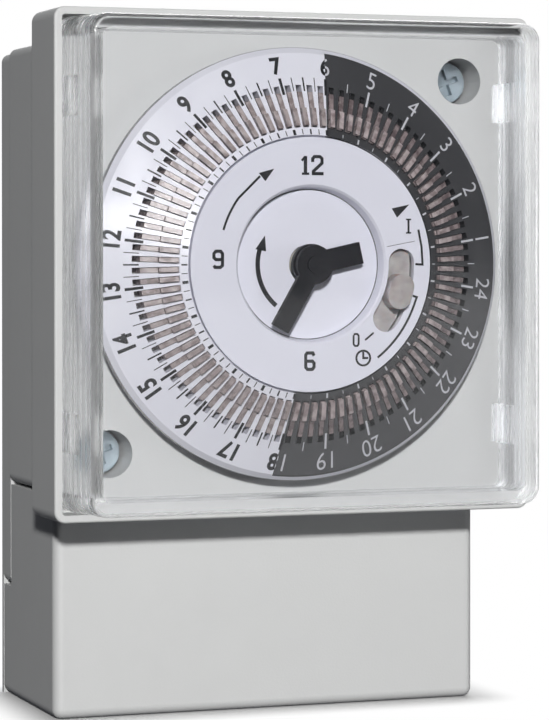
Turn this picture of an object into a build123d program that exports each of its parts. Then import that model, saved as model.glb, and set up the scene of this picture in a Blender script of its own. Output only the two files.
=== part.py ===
from build123d import *
import math
import os

os.makedirs("parts", exist_ok=True)

# Wall-mounted 24-hour dial time switch, millimetres.
# X is right, Y points into the wall and Z is up. The origin is on the wall face, behind the dial's
# centre. Depths are measured back from the clear cover's front face, so the wall is at DEPTH.

# ---------------------------------------------------------------- overall sizes
DEPTH = 52.5
FRAME_SIZE = 72.0
FRAME_CORNER = 1.6
FRAME_FRONT = 9.9
FRAME_REAR = 22.4
FRAME_WALL = 1.1
FRAME_REAR_WALL = 1.6
FLOOR_FRONT = 15.0
FLOOR_REAR = 17.0

BODY_HALF_WIDTH = 32.9
BODY_TOP = 32.2
BODY_BOTTOM = -33.0
BODY_REAR = 47.3
BODY_CORNER = 1.3
SHELL = 1.8

LOWER_HALF_WIDTH = 32.6
BASE_TOP = 31.7
BASE_BOTTOM = -65.4
BASE_STEP = -48.5
BASE_FLOOR = 50.7
BASE_THIN = 51.6

COVER_WIDTH_FRONT = 66.9
COVER_HEIGHT_FRONT = 69.0
COVER_SIZE_REAR = 69.6
COVER_REAR = 14.6
COVER_WALL = 1.9
COVER_FACE = 1.8
COVER_CORNER = 2.6

# ---------------------------------------------------------------- dial and tappets
TIME_NOW = 2 + 35 / 60
DIAL_TIME = 2.5
POINTER_ANGLE = 30.0
HOURS = 24
SLOTS = 96
DIAL_RADIUS = 31.0
DIAL_LIP = 0.8
DIAL_INNER = 18.3
DIAL_FRONT = 5.15
DIAL_SLOPE = math.tan(math.radians(24))
DIAL_THICKNESS = 1.9
DIAL_RIM_REAR = 12.4
BEARING_RADIUS = 17.3
BEARING_WALL = 1.3
BEARING_GAP = 0.08
SKIRT_RADIUS = 18.6
SKIRT_FRONT = 6.1
SKIRT_REAR = 14.5
SLOT_INNER = 19.4
SLOT_OUTER = 25.5
SLOT_WIDTH = 0.84
TAPPET_INNER = 19.55
TAPPET_OUTER = 24.5
TAPPET_WIDTH = 0.66
TAPPET_PROUD = 0.15
TAPPET_NIB = (19.7, 22.2)
TAPPET_NIB_HEIGHT = 0.75
TAPPET_FINGER = 23.6
TAPPET_REAR = 12.2

# ---------------------------------------------------------------- clock face and hands
FACE_RADIUS = 18.0
FACE_FRONT = 4.9
FACE_REAR = 5.9
RECESS_RADIUS = 11.3
RECESS_FLOOR_RADIUS = 10.7
RECESS_FLOOR = 6.7
FACE_HOLE = 2.8
SELECTOR_RADIUS = 13.6
SELECTOR_WIDTH = 3.9
SELECTOR_ANGLE = -16.7
SELECTOR_SPAN = 35.6
HOUR_HAND = (4.7, 5.6)
MINUTE_HAND = (3.4, 4.3)

# ---------------------------------------------------------------- gear train
PRESSURE_ANGLE = math.radians(20)
BACKLASH = 0.16
TIP_HEIGHT = 0.8
ROOT_DEPTH = 1.15
FINE = 0.4
COARSE = 0.5
DIAL_TEETH = 96
DIAL_PINION_TEETH = 24
DRIVE_WHEEL_TEETH = 32
HOUR_GEAR_TEETH = 64
HOUR_WHEEL_TEETH = 48
MINUTE_PINION_TEETH = 12
MINUTE_WHEEL_TEETH = 45
CANNON_TEETH = 15
CENTRE_WHEEL_TEETH = 40
MOTOR_PINION_TEETH = 20
DRIVE_ANGLE = 135.0
MINUTE_ANGLE = 75.0
MOTOR_ANGLE = 225.0
DRIVE_DISTANCE = (DIAL_TEETH + DIAL_PINION_TEETH) * FINE / 2
MINUTE_DISTANCE = (HOUR_WHEEL_TEETH + MINUTE_PINION_TEETH) * FINE / 2
MOTOR_DISTANCE = (CENTRE_WHEEL_TEETH + MOTOR_PINION_TEETH) * COARSE / 2
DIAL_GEAR = (12.8, SKIRT_REAR)
HOUR_GEAR = (19.5, 21.0)
HOUR_WHEEL = (21.4, 22.9)
CANNON = (23.4, 24.9)
CENTRE_WHEEL = (25.4, 26.9)
HOUR_TUBE_RADIUS = 2.5
HOUR_TUBE_BORE = 1.32
ARBOR_RADIUS = 1.25
DRIVE_ARBOR_RADIUS = 0.8
STUD_RADIUS = 0.9
RUNNING_GAP = 0.06
PLATE = (28.0, 29.5)

# ---------------------------------------------------------------- switch and movement
SCREW_OFFSET = 26.8
SCREW_CENTRES = ((-SCREW_OFFSET, -SCREW_OFFSET), (SCREW_OFFSET, SCREW_OFFSET))
SCREW_HEAD_RADIUS = 3.0
SCREW_HEAD_HEIGHT = 1.5
SCREW_HOLE_GAP = 0.2
SCREW_CUP_RADIUS = 3.4
SCREW_CUP_WALL = 1.0
SCREW_CUP_FLOOR = 21.7
SCREW_RADIUS = 1.75
BOSS_RADIUS = 3.8
PILLARS = ((-27.0, -5.0), (4.0, 27.0), (6.0, -27.0))
PILLAR_RADIUS = 2.2
LEVER = (17.4, 18.8)
LEVER_PIVOT = (30.0, -4.0)
LEVER_TAIL = -21.0
NOSE_INNER = 24.8
NOSE_FRONT = 11.7
SWITCH_X = (17.4, 27.8)
SWITCH_Z = (-30.4, -10.6)
SWITCH_DEPTH = (17.4, 23.8)
BOARD = (42.4, 44.0)

# ---------------------------------------------------------------- terminals
TERMINAL_COUNT = 5
TERMINAL_PITCH = 9.5
BLOCK_Z = (-51.5, -36.5)
BLOCK_DEPTH = (33.5, BASE_FLOOR)
CHAMBER_HALF = 3.6
CHAMBER_DEPTH = (35.6, 44.2)
CAGE_HALF = 3.3
CAGE_DEPTH = (35.8, 43.8)
CAGE_Z = (-48.0, -40.5)
CAGE_WALL = 0.9
BLADE_DEPTH = (37.4, 38.2)
WALL_HOLES = ((0.0, 22.0), (-22.0, -58.0), (22.0, -58.0))
WALL_HOLE_RADIUS = 2.2


# ---------------------------------------------------------------- drawing helpers
def at(depth, x=0.0, z=0.0):
    """Plane parallel to the wall, seen from the front, with its own origin."""
    return Plane(origin=(x, depth - DEPTH, z), x_dir=(1, 0, 0), z_dir=(0, -1, 0))


def radial(angle):
    """Plane through the dial axis: its X is the radius and its Y the depth."""
    turn = math.radians(angle)
    return Plane(
        origin=(0, -DEPTH, 0),
        x_dir=(math.cos(turn), 0, math.sin(turn)),
        z_dir=(-math.sin(turn), 0, math.cos(turn)),
    )


def polar(radius, angle):
    """X and Z of a point given by its radius and angle about the dial axis."""
    turn = math.radians(angle)
    return (radius * math.cos(turn), radius * math.sin(turn))


def block(x_range, depth_range, z_range, mode=Mode.ADD, corner=0.0):
    """Rectangular block between two X values, two depths and two Z values."""
    width = x_range[1] - x_range[0]
    height = z_range[1] - z_range[0]
    with BuildSketch(at(depth_range[0], sum(x_range) / 2, sum(z_range) / 2)) as outline:
        if corner:
            RectangleRounded(width, height, corner)
        else:
            Rectangle(width, height)
    extrude(outline.sketch, amount=depth_range[0] - depth_range[1], mode=mode)


def rod(centre, radius, depth_range, mode=Mode.ADD):
    """Round bar or hole parallel to the dial axis."""
    with BuildSketch(at(depth_range[0], *centre)) as outline:
        Circle(radius)
    extrude(outline.sketch, amount=depth_range[0] - depth_range[1], mode=mode)


def save(piece, label):
    """Name a finished piece and write it to its own file."""
    piece.part.label = label
    export_step(piece.part, f"parts/{label}.step")


# ---------------------------------------------------------------- gear helpers
def involute(angle):
    """Involute function of a pressure angle in radians."""
    return math.tan(angle) - angle


def tooth_half_angle(radius, teeth, module):
    """Half of the angle that one tooth fills at a radius."""
    base_radius = teeth * module / 2 * math.cos(PRESSURE_ANGLE)
    pressure = math.acos(min(1.0, base_radius / radius))
    at_pitch = math.pi / (2 * teeth) * (1 - BACKLASH)
    return at_pitch + involute(PRESSURE_ANGLE) - involute(pressure)


def gear(centre, teeth, module, phase, depth_range):
    """Spur gear with a tooth centred on the phase angle, in degrees."""
    pitch_radius = teeth * module / 2
    root = pitch_radius - ROOT_DEPTH * module
    tip = pitch_radius + TIP_HEIGHT * module
    radii = (root, (root + pitch_radius) / 2, pitch_radius, tip)
    flank = [(radius, tooth_half_angle(radius, teeth, module)) for radius in radii]
    tooth = [(radius, -half) for radius, half in flank]
    tooth += [(radius, half) for radius, half in reversed(flank)]
    points = []
    for index in range(teeth):
        middle = math.radians(phase) + 2 * math.pi * index / teeth
        for radius, offset in tooth:
            points.append((radius * math.cos(middle + offset), radius * math.sin(middle + offset)))
    with BuildSketch(at(depth_range[0], *centre)) as outline:
        with BuildLine():
            Polyline(*points, close=True)
        make_face()
    extrude(outline.sketch, amount=depth_range[0] - depth_range[1])


def meshing_phase(direction, teeth, partner_teeth, partner_phase):
    """Phase of a gear that meshes with a partner, which sees it in a direction."""
    offset = (direction - partner_phase) * partner_teeth / 360
    return direction + 180 - (0.5 - offset) * 360 / teeth


DRIVE_CENTRE = polar(DRIVE_DISTANCE, DRIVE_ANGLE)
MINUTE_CENTRE = polar(MINUTE_DISTANCE, MINUTE_ANGLE)
MOTOR_CENTRE = polar(MOTOR_DISTANCE, MOTOR_ANGLE)
DRIVE_PHASE = meshing_phase(DRIVE_ANGLE, DIAL_PINION_TEETH, DIAL_TEETH, 0)
HOUR_PHASE = meshing_phase(DRIVE_ANGLE + 180, HOUR_GEAR_TEETH, DRIVE_WHEEL_TEETH, 0)
MINUTE_PHASE = meshing_phase(MINUTE_ANGLE, MINUTE_PINION_TEETH, HOUR_WHEEL_TEETH, 0)
CANNON_PHASE = meshing_phase(MINUTE_ANGLE + 180, CANNON_TEETH, MINUTE_WHEEL_TEETH, 0)
MOTOR_PHASE = meshing_phase(MOTOR_ANGLE, MOTOR_PINION_TEETH, CENTRE_WHEEL_TEETH, 0)


def cone_depth(radius):
    """Depth of the dial's sloping front at a radius."""
    return DIAL_FRONT + (radius - DIAL_INNER) * DIAL_SLOPE


def slot_angle(slot):
    """Angle of the middle of one quarter-hour slot, counted anticlockwise from midnight."""
    hour = (slot + 0.5) * HOURS / SLOTS
    return POINTER_ANGLE + 360 / HOURS * (hour - DIAL_TIME)


# ---------------------------------------------------------------- wall base and terminals
CSK_RADIUS = 4.2
CSK_DEPTH = BODY_REAR + 0.6
HOLE_BOSS_WALL = 1.0
RIB_INSET = 1.0
THREAD_END = DEPTH - 0.6
LOWER_X = (-LOWER_HALF_WIDTH, LOWER_HALF_WIDTH)
BASE_INNER = LOWER_HALF_WIDTH - SHELL
BASE_INNER_X = (-BASE_INNER, BASE_INNER)
TERMINAL_X = [TERMINAL_PITCH * (i - (TERMINAL_COUNT - 1) / 2) for i in range(TERMINAL_COUNT)]

with BuildPart() as wall_base:
    block(LOWER_X, (BODY_REAR, DEPTH), (BASE_STEP, BASE_TOP), corner=BODY_CORNER)
    block(LOWER_X, (BASE_THIN, DEPTH), (BASE_BOTTOM, BASE_STEP + BODY_CORNER + 1))
    block(
        BASE_INNER_X,
        (BODY_REAR - 1, BASE_FLOOR),
        (BASE_STEP + SHELL, BASE_TOP - SHELL),
        mode=Mode.SUBTRACT,
    )
    block(BASE_INNER_X, (BASE_FLOOR, DEPTH), (BASE_BOTTOM + SHELL, BASE_STEP))
    block(
        BASE_INNER_X,
        (BODY_REAR - 1, BASE_FLOOR),
        (BASE_STEP - 1, BASE_STEP + SHELL + 0.2),
        mode=Mode.SUBTRACT,
    )
    for side in (-1, 1):
        rib_x = sorted((side * (BASE_INNER - RIB_INSET), side * (BASE_INNER - RIB_INSET - SHELL)))
        block(rib_x, (BODY_REAR, BASE_FLOOR), (BASE_BOTTOM + SHELL + 1, BASE_STEP + SHELL))
    for centre in SCREW_CENTRES:
        rod(centre, BOSS_RADIUS, (BODY_REAR, BASE_FLOOR))
        rod(centre, SCREW_RADIUS, (BODY_REAR, THREAD_END), mode=Mode.SUBTRACT)
    for hole in WALL_HOLES:
        rod(hole, CSK_RADIUS + HOLE_BOSS_WALL, (CSK_DEPTH, BASE_FLOOR))
        rod(hole, WALL_HOLE_RADIUS, (BODY_REAR, DEPTH), mode=Mode.SUBTRACT)
        with BuildSketch(at(CSK_DEPTH, *hole)):
            Circle(CSK_RADIUS)
        extrude(amount=WALL_HOLE_RADIUS - CSK_RADIUS, taper=45, mode=Mode.SUBTRACT)
save(wall_base, "wall_base")

BLOCK_HALF = 25.5
TERMINAL_Z = sum(CAGE_Z) / 2
TOOL_HOLE_RADIUS = 2.5
TEST_SLOT_HALF = 4.3
TEST_SLOT_Z = (-39.4, -37.2)
TEST_SLOT_DEPTH = 0.8

with BuildPart() as terminal_block:
    block((-BLOCK_HALF, BLOCK_HALF), BLOCK_DEPTH, BLOCK_Z, corner=0.8)
    for x in TERMINAL_X:
        chamber_x = (x - CHAMBER_HALF, x + CHAMBER_HALF)
        block(chamber_x, CHAMBER_DEPTH, (BLOCK_Z[0] - 1, BLOCK_Z[1] + 1), Mode.SUBTRACT)
        rod((x, TERMINAL_Z), TOOL_HOLE_RADIUS, (BLOCK_DEPTH[0], CHAMBER_DEPTH[0]), mode=Mode.SUBTRACT)
        slot_x = (x - TEST_SLOT_HALF, x + TEST_SLOT_HALF)
        block(slot_x, (BLOCK_DEPTH[0], BLOCK_DEPTH[0] + TEST_SLOT_DEPTH), TEST_SLOT_Z, Mode.SUBTRACT)
save(terminal_block, "terminal_block")

CAGE_INSIDE = (CAGE_DEPTH[0] + CAGE_WALL, CAGE_DEPTH[1] - CAGE_WALL)
CLAMP_HOLE_RADIUS = 1.5
CLAMP_SCREW_RADIUS = 1.45
CLAMP_HEAD_RADIUS = 2.2
CLAMP_HEAD_FRONT = 33.9
DRIVE_SLOT_HALF = 0.35
DRIVE_SLOT_REAR = CLAMP_HEAD_FRONT + 0.8
CROSS_SLOT_HALF = 1.4

with BuildPart() as terminal_clamps:
    for x in TERMINAL_X:
        block((x - CAGE_HALF, x + CAGE_HALF), CAGE_DEPTH, CAGE_Z)
        opening = (x - CAGE_HALF + CAGE_WALL, x + CAGE_HALF - CAGE_WALL)
        block(opening, CAGE_INSIDE, (CAGE_Z[0] - 1, CAGE_Z[1] + 1), Mode.SUBTRACT)
        rod((x, TERMINAL_Z), CLAMP_HOLE_RADIUS, (CAGE_DEPTH[0] - 1, CAGE_INSIDE[0]), mode=Mode.SUBTRACT)
save(terminal_clamps, "terminal_clamps")

with BuildPart() as terminal_screws:
    for x in TERMINAL_X:
        rod((x, TERMINAL_Z), CLAMP_HEAD_RADIUS, (CLAMP_HEAD_FRONT, CAGE_DEPTH[0]))
        rod((x, TERMINAL_Z), CLAMP_SCREW_RADIUS, (CAGE_DEPTH[0], BLADE_DEPTH[0]))
        slot_depth = (CLAMP_HEAD_FRONT - 0.1, DRIVE_SLOT_REAR)
        long_z = (TERMINAL_Z - DRIVE_SLOT_HALF, TERMINAL_Z + DRIVE_SLOT_HALF)
        block((x - CLAMP_HEAD_RADIUS - 0.2, x + CLAMP_HEAD_RADIUS + 0.2), slot_depth, long_z, Mode.SUBTRACT)
        cross_z = (TERMINAL_Z - CROSS_SLOT_HALF, TERMINAL_Z + CROSS_SLOT_HALF)
        block((x - DRIVE_SLOT_HALF, x + DRIVE_SLOT_HALF), slot_depth, cross_z, Mode.SUBTRACT)
save(terminal_screws, "terminal_screws")

LID_FRONT = FRAME_REAR + 0.15
LID_REAR = BASE_THIN - 0.35
LID_TOP = BODY_BOTTOM - 0.4
LID_WALL = 1.7
LID_EDGE = 1.4
LID_STEP = BASE_STEP - 0.3
LID_STEP_REAR = BODY_REAR - 0.25
CABLE_HALF = 10.0
CABLE_FRONT = 37.0

with BuildPart() as terminal_cover:
    block(LOWER_X, (LID_FRONT, LID_REAR), (BASE_BOTTOM, LID_TOP))
    corners = terminal_cover.edges().filter_by(Axis.Z).group_by(Axis.Y)[0]
    bottom = terminal_cover.edges().filter_by(Axis.Y).group_by(Axis.Z)[0]
    front_edge = terminal_cover.edges().filter_by(Axis.X).group_by(Axis.Z)[0].sort_by(Axis.Y)[0]
    fillet(corners + bottom + [front_edge], LID_EDGE)
    block(
        (LID_WALL - LOWER_HALF_WIDTH, LOWER_HALF_WIDTH - LID_WALL),
        (LID_FRONT + LID_WALL, DEPTH),
        (BASE_BOTTOM + LID_WALL, LID_TOP + 1),
        mode=Mode.SUBTRACT,
    )
    block(
        (-LOWER_HALF_WIDTH - 1, LOWER_HALF_WIDTH + 1),
        (LID_STEP_REAR, DEPTH),
        (LID_STEP, LID_TOP + 1),
        mode=Mode.SUBTRACT,
    )
    cable_z = (BASE_BOTTOM - 1, BASE_BOTTOM + LID_WALL + 1)
    block((-CABLE_HALF, CABLE_HALF), (CABLE_FRONT, DEPTH), cable_z, Mode.SUBTRACT)
save(terminal_cover, "terminal_cover")

# ---------------------------------------------------------------- case of the timer
BODY_X = (-BODY_HALF_WIDTH, BODY_HALF_WIDTH)
BODY_INNER = BODY_HALF_WIDTH - SHELL
BODY_INNER_X = (-BODY_INNER, BODY_INNER)
BODY_INNER_Z = (BODY_BOTTOM + SHELL, BODY_TOP - SHELL)
BLADE_SLOT_HALF = 2.2
BLADE_SLOT_DEPTH = (BLADE_DEPTH[0] - 0.2, BLADE_DEPTH[1] + 0.2)

with BuildPart() as rear_housing:
    block(BODY_X, (FRAME_REAR, BODY_REAR), (BODY_BOTTOM, BODY_TOP), corner=BODY_CORNER)
    fillet(rear_housing.faces().sort_by(Axis.Y)[-1].edges(), 0.7)
    block(
        BODY_INNER_X,
        (FRAME_REAR - 1, BODY_REAR - SHELL),
        BODY_INNER_Z,
        mode=Mode.SUBTRACT,
        corner=BODY_CORNER - SHELL / 2,
    )
    for centre in SCREW_CENTRES:
        rod(centre, BOSS_RADIUS, (FRAME_REAR, BODY_REAR - SHELL))
        rod(centre, SCREW_RADIUS + SCREW_HOLE_GAP, (FRAME_REAR, BODY_REAR), mode=Mode.SUBTRACT)
    for x in TERMINAL_X:
        slot_x = (x - BLADE_SLOT_HALF, x + BLADE_SLOT_HALF)
        block(slot_x, BLADE_SLOT_DEPTH, (BODY_BOTTOM - 1, BODY_INNER_Z[0] + 1), Mode.SUBTRACT)
save(rear_housing, "rear_housing")

LEVER_PIN_RADIUS = 1.2
LEVER_PIN_END = FRAME_REAR - 2.4
STEM_TRAVEL = 19.0
STEM_SLOT_PATH = CenterArc((0, 0), SELECTOR_RADIUS, SELECTOR_ANGLE - STEM_TRAVEL, 2 * STEM_TRAVEL)
STEM_SLOT_WIDTH = 2.6
NOSE_HALF = 1.5
NOSE_OUTER = 26.3
NOSE_MIDDLE = (NOSE_INNER + NOSE_OUTER) / 2
HUB_FRONT = 11.5
HUB_WALL = 2.0
DRIVE_HUB_REAR = FLOOR_REAR + 1.6
SCREW_PILOT_RADIUS = 0.95

with BuildPart() as front_frame:
    half = FRAME_SIZE / 2
    clear = half - FRAME_WALL
    opening = (-clear, clear)
    block((-half, half), (FRAME_FRONT, FRAME_REAR), (-half, half), corner=FRAME_CORNER)
    fillet(front_frame.faces().sort_by(Axis.Y)[0].edges(), 0.35)
    fillet(front_frame.faces().sort_by(Axis.Y)[-1].edges(), 0.5)
    inner_corner = FRAME_CORNER - FRAME_WALL
    block(opening, (FRAME_FRONT - 1, FLOOR_FRONT), opening, Mode.SUBTRACT, inner_corner)
    block(opening, (FLOOR_REAR, FRAME_REAR - FRAME_REAR_WALL), opening, Mode.SUBTRACT, inner_corner)
    block(BODY_INNER_X, (FLOOR_REAR, FRAME_REAR + 1), BODY_INNER_Z, Mode.SUBTRACT)
    rod((0, 0), BEARING_RADIUS, (FACE_REAR, FLOOR_FRONT))
    rod((0, 0), BEARING_RADIUS - BEARING_WALL, (FACE_REAR - 1, FLOOR_FRONT), mode=Mode.SUBTRACT)
    rod((0, 0), HOUR_TUBE_RADIUS + HUB_WALL, (HUB_FRONT, FLOOR_REAR))
    rod((0, 0), HOUR_TUBE_RADIUS + RUNNING_GAP, (HUB_FRONT - 0.5, FLOOR_REAR), mode=Mode.SUBTRACT)
    rod(DRIVE_CENTRE, DRIVE_ARBOR_RADIUS + 1.6, (FLOOR_REAR, DRIVE_HUB_REAR))
    rod(DRIVE_CENTRE, DRIVE_ARBOR_RADIUS + RUNNING_GAP, (FLOOR_FRONT, DRIVE_HUB_REAR), mode=Mode.SUBTRACT)
    for centre in PILLARS:
        rod(centre, PILLAR_RADIUS, (FLOOR_REAR, PLATE[0]))
        rod(centre, SCREW_PILOT_RADIUS, (PLATE[0] - 6, PLATE[0]), mode=Mode.SUBTRACT)
    rod(LEVER_PIVOT, LEVER_PIN_RADIUS, (FLOOR_REAR, LEVER_PIN_END))
    for centre in SCREW_CENTRES:
        rod(centre, SCREW_CUP_RADIUS + SCREW_CUP_WALL, (FLOOR_REAR, FRAME_REAR))
        rod(centre, SCREW_CUP_RADIUS, (FLOOR_FRONT, SCREW_CUP_FLOOR), mode=Mode.SUBTRACT)
        rod(centre, SCREW_RADIUS + SCREW_HOLE_GAP, (SCREW_CUP_FLOOR, FRAME_REAR), mode=Mode.SUBTRACT)
    with BuildSketch(at(FLOOR_FRONT)):
        SlotArc(STEM_SLOT_PATH, STEM_SLOT_WIDTH)
    extrude(amount=FLOOR_FRONT - FLOOR_REAR, mode=Mode.SUBTRACT)
    with BuildSketch(at(FLOOR_FRONT)):
        with Locations(Location(polar(NOSE_MIDDLE + 0.35, POINTER_ANGLE), POINTER_ANGLE)):
            Rectangle(NOSE_OUTER - NOSE_INNER + 1.6, 2 * NOSE_HALF + 1.2)
    extrude(amount=FLOOR_FRONT - FLOOR_REAR, mode=Mode.SUBTRACT)
save(front_frame, "front_frame")

with BuildPart() as module_screws:
    for centre in SCREW_CENTRES:
        rod(centre, SCREW_HEAD_RADIUS, (SCREW_CUP_FLOOR - SCREW_HEAD_HEIGHT, SCREW_CUP_FLOOR))
        rod(centre, SCREW_RADIUS - 0.02, (SCREW_CUP_FLOOR, DEPTH - 1.5))
        with BuildSketch(at(SCREW_CUP_FLOOR - SCREW_HEAD_HEIGHT - 0.2, *centre)):
            with Locations(Location((0, 0), 20)):
                Rectangle(4.0, 0.8)
                Rectangle(0.8, 4.0)
        extrude(amount=-1.2, mode=Mode.SUBTRACT)
save(module_screws, "module_screws")

LATCH_Z = 23.5
LATCH_HALF = 2.8
LATCH_PROUD = 1.0

with BuildPart() as clear_cover:
    with BuildSketch(at(COVER_REAR)):
        RectangleRounded(COVER_SIZE_REAR, COVER_SIZE_REAR, COVER_CORNER)
    with BuildSketch(at(0)):
        RectangleRounded(COVER_WIDTH_FRONT, COVER_HEIGHT_FRONT, COVER_CORNER)
    loft(ruled=True)
    fillet(clear_cover.faces().sort_by(Axis.Y)[0].edges(), 0.9)
    with BuildSketch(at(COVER_REAR)):
        inside = COVER_SIZE_REAR - 2 * COVER_WALL
        RectangleRounded(inside, inside, COVER_CORNER - 1.4)
    with BuildSketch(at(COVER_FACE)):
        inside_width = COVER_WIDTH_FRONT - 2 * COVER_WALL
        inside_height = COVER_HEIGHT_FRONT - 2 * COVER_WALL
        RectangleRounded(inside_width, inside_height, COVER_CORNER - 1.4)
    loft(ruled=True, mode=Mode.SUBTRACT)
    for side in (-1, 1):
        for level in (-LATCH_Z, LATCH_Z):
            wall_x = side * (COVER_SIZE_REAR / 2 - COVER_WALL)
            rib_x = sorted((wall_x + side * 0.6, wall_x - side * LATCH_PROUD))
            block(rib_x, (7.0, COVER_REAR), (level - LATCH_HALF, level + LATCH_HALF))
save(clear_cover, "clear_cover")

# ---------------------------------------------------------------- timing dial and its tappets
with BuildPart() as timing_dial:
    with BuildSketch(radial(0)):
        with BuildLine():
            lip = DIAL_RADIUS - DIAL_LIP
            Polyline(
                (BEARING_RADIUS + BEARING_GAP, SKIRT_FRONT),
                (BEARING_RADIUS + BEARING_GAP, SKIRT_REAR),
                (SKIRT_RADIUS, SKIRT_REAR),
                (SKIRT_RADIUS, cone_depth(SKIRT_RADIUS) + DIAL_THICKNESS),
                (lip - 1, cone_depth(lip - 1) + DIAL_THICKNESS),
                (lip - 0.4, DIAL_RIM_REAR),
                (DIAL_RADIUS, DIAL_RIM_REAR),
                (DIAL_RADIUS, cone_depth(DIAL_RADIUS) + 0.45),
                (lip, cone_depth(lip)),
                (DIAL_INNER, DIAL_FRONT),
                (DIAL_INNER, SKIRT_FRONT),
                close=True,
            )
        make_face()
    revolve(axis=Axis.Y)
    gear((0, 0), DIAL_TEETH, FINE, 0, DIAL_GEAR)
    rod((0, 0), BEARING_RADIUS + BEARING_GAP, (SKIRT_FRONT, SKIRT_REAR), mode=Mode.SUBTRACT)
    with BuildSketch(at(DIAL_FRONT - 1)):
        with PolarLocations((SLOT_INNER + SLOT_OUTER) / 2, SLOTS, slot_angle(0)):
            Rectangle(SLOT_OUTER - SLOT_INNER, SLOT_WIDTH)
    extrude(amount=DIAL_FRONT - DIAL_GEAR[0], mode=Mode.SUBTRACT)
save(timing_dial, "timing_dial")


def add_tappet(angle):
    """One sliding tappet: a strip in its slot, a finger nib in front and a finger behind."""
    nib_inner, nib_outer = TAPPET_NIB
    outline = (
        (TAPPET_INNER, cone_depth(TAPPET_INNER) - TAPPET_PROUD),
        (nib_inner, cone_depth(nib_inner) - TAPPET_PROUD),
        (nib_inner, cone_depth(nib_inner) - TAPPET_NIB_HEIGHT),
        (nib_outer, cone_depth(nib_outer) - TAPPET_NIB_HEIGHT),
        (nib_outer, cone_depth(nib_outer) - TAPPET_PROUD),
        (TAPPET_OUTER, cone_depth(TAPPET_OUTER) - TAPPET_PROUD),
        (TAPPET_OUTER, TAPPET_REAR),
        (TAPPET_FINGER, TAPPET_REAR),
        (TAPPET_FINGER, cone_depth(TAPPET_FINGER) + DIAL_THICKNESS),
        (TAPPET_INNER, cone_depth(TAPPET_INNER) + DIAL_THICKNESS),
    )
    with BuildSketch(radial(angle)) as side_view:
        with BuildLine():
            Polyline(*outline, close=True)
        make_face()
    extrude(side_view.sketch, amount=TAPPET_WIDTH / 2, both=True)


for hour in range(HOURS):
    with BuildPart() as hour_tappet:
        add_tappet(slot_angle(hour * SLOTS // HOURS))
    save(hour_tappet, f"tappet_{hour:02d}")

with BuildPart() as quarter_tappets:
    for slot in range(SLOTS):
        if slot % (SLOTS // HOURS):
            add_tappet(slot_angle(slot))
save(quarter_tappets, "quarter_tappets")

# ---------------------------------------------------------------- clock face, selector and hands
SELECTOR_PATH = CenterArc((0, 0), SELECTOR_RADIUS, SELECTOR_ANGLE - SELECTOR_SPAN / 2, SELECTOR_SPAN)
SHUTTER_SPAN = 68.0
SHUTTER_WIDTH = 3.5
SHUTTER_FRONT = FACE_REAR + 0.25
SHUTTER_THICKNESS = 1.3
KNOB_SPAN = 6.4
KNOB_WIDTH = 3.5
KNOB_FRONT = FACE_FRONT - 1.5
NECK_WIDTH = 2.4
STEM_WIDTH = 1.6
STEM_FRONT = FACE_REAR + 1
ARM_RADIUS = (13.8, 19.0)
ARM_WIDTH = 2.4
SHUTTER_PATH = CenterArc((0, 0), SELECTOR_RADIUS, SELECTOR_ANGLE - SHUTTER_SPAN / 2, SHUTTER_SPAN)
KNOB_PATH = CenterArc((0, 0), SELECTOR_RADIUS, SELECTOR_ANGLE - KNOB_SPAN / 2, KNOB_SPAN)

with BuildPart() as clock_face:
    with BuildSketch(radial(0)):
        with BuildLine():
            Polyline(
                (FACE_HOLE, RECESS_FLOOR),
                (RECESS_FLOOR_RADIUS, RECESS_FLOOR),
                (RECESS_RADIUS - 0.3, FACE_FRONT + 0.3),
                (RECESS_RADIUS, FACE_FRONT),
                (FACE_RADIUS, FACE_FRONT),
                (FACE_RADIUS, FACE_REAR),
                (RECESS_RADIUS + 0.1, FACE_REAR),
                (RECESS_RADIUS, RECESS_FLOOR + 0.8),
                (FACE_HOLE, RECESS_FLOOR + 0.8),
                close=True,
            )
        make_face()
    revolve(axis=Axis.Y)
    with BuildSketch(at(FACE_FRONT - 1)):
        SlotArc(SELECTOR_PATH, SELECTOR_WIDTH)
    extrude(amount=FACE_FRONT - FACE_REAR - 2, mode=Mode.SUBTRACT)
save(clock_face, "clock_face")

with BuildPart() as manual_selector:
    with BuildSketch(at(SHUTTER_FRONT)):
        SlotArc(SHUTTER_PATH, SHUTTER_WIDTH)
    extrude(amount=-SHUTTER_THICKNESS)
    with BuildSketch(at(KNOB_FRONT)):
        SlotArc(KNOB_PATH, KNOB_WIDTH)
    extrude(amount=KNOB_FRONT - FACE_REAR)
    with BuildSketch(at(FACE_REAR)):
        SlotArc(KNOB_PATH, NECK_WIDTH)
    extrude(amount=-0.8)
    with BuildSketch(at(STEM_FRONT)):
        SlotArc(KNOB_PATH, STEM_WIDTH)
    extrude(amount=STEM_FRONT - LEVER[1])
    with BuildSketch(at(LEVER[0])):
        with Locations(Location(polar(sum(ARM_RADIUS) / 2, SELECTOR_ANGLE), SELECTOR_ANGLE)):
            Rectangle(ARM_RADIUS[1] - ARM_RADIUS[0], ARM_WIDTH)
    extrude(amount=LEVER[0] - LEVER[1])
save(manual_selector, "manual_selector")

HOUR_HAND_ANGLE = 90 - TIME_NOW * 30
MINUTE_HAND_ANGLE = 90 - (TIME_NOW % 1) * 360


def hand(angle, length, hub_radius, width, depth_range):
    """Flat straight hand with a square end, pointing along an angle, with its hub still uncut."""
    with BuildSketch(at(depth_range[0])) as shape:
        with Locations(Location(polar(length / 2, angle), angle)):
            Rectangle(length, width)
        Circle(hub_radius)
    extrude(shape.sketch, amount=depth_range[0] - depth_range[1])


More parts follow.
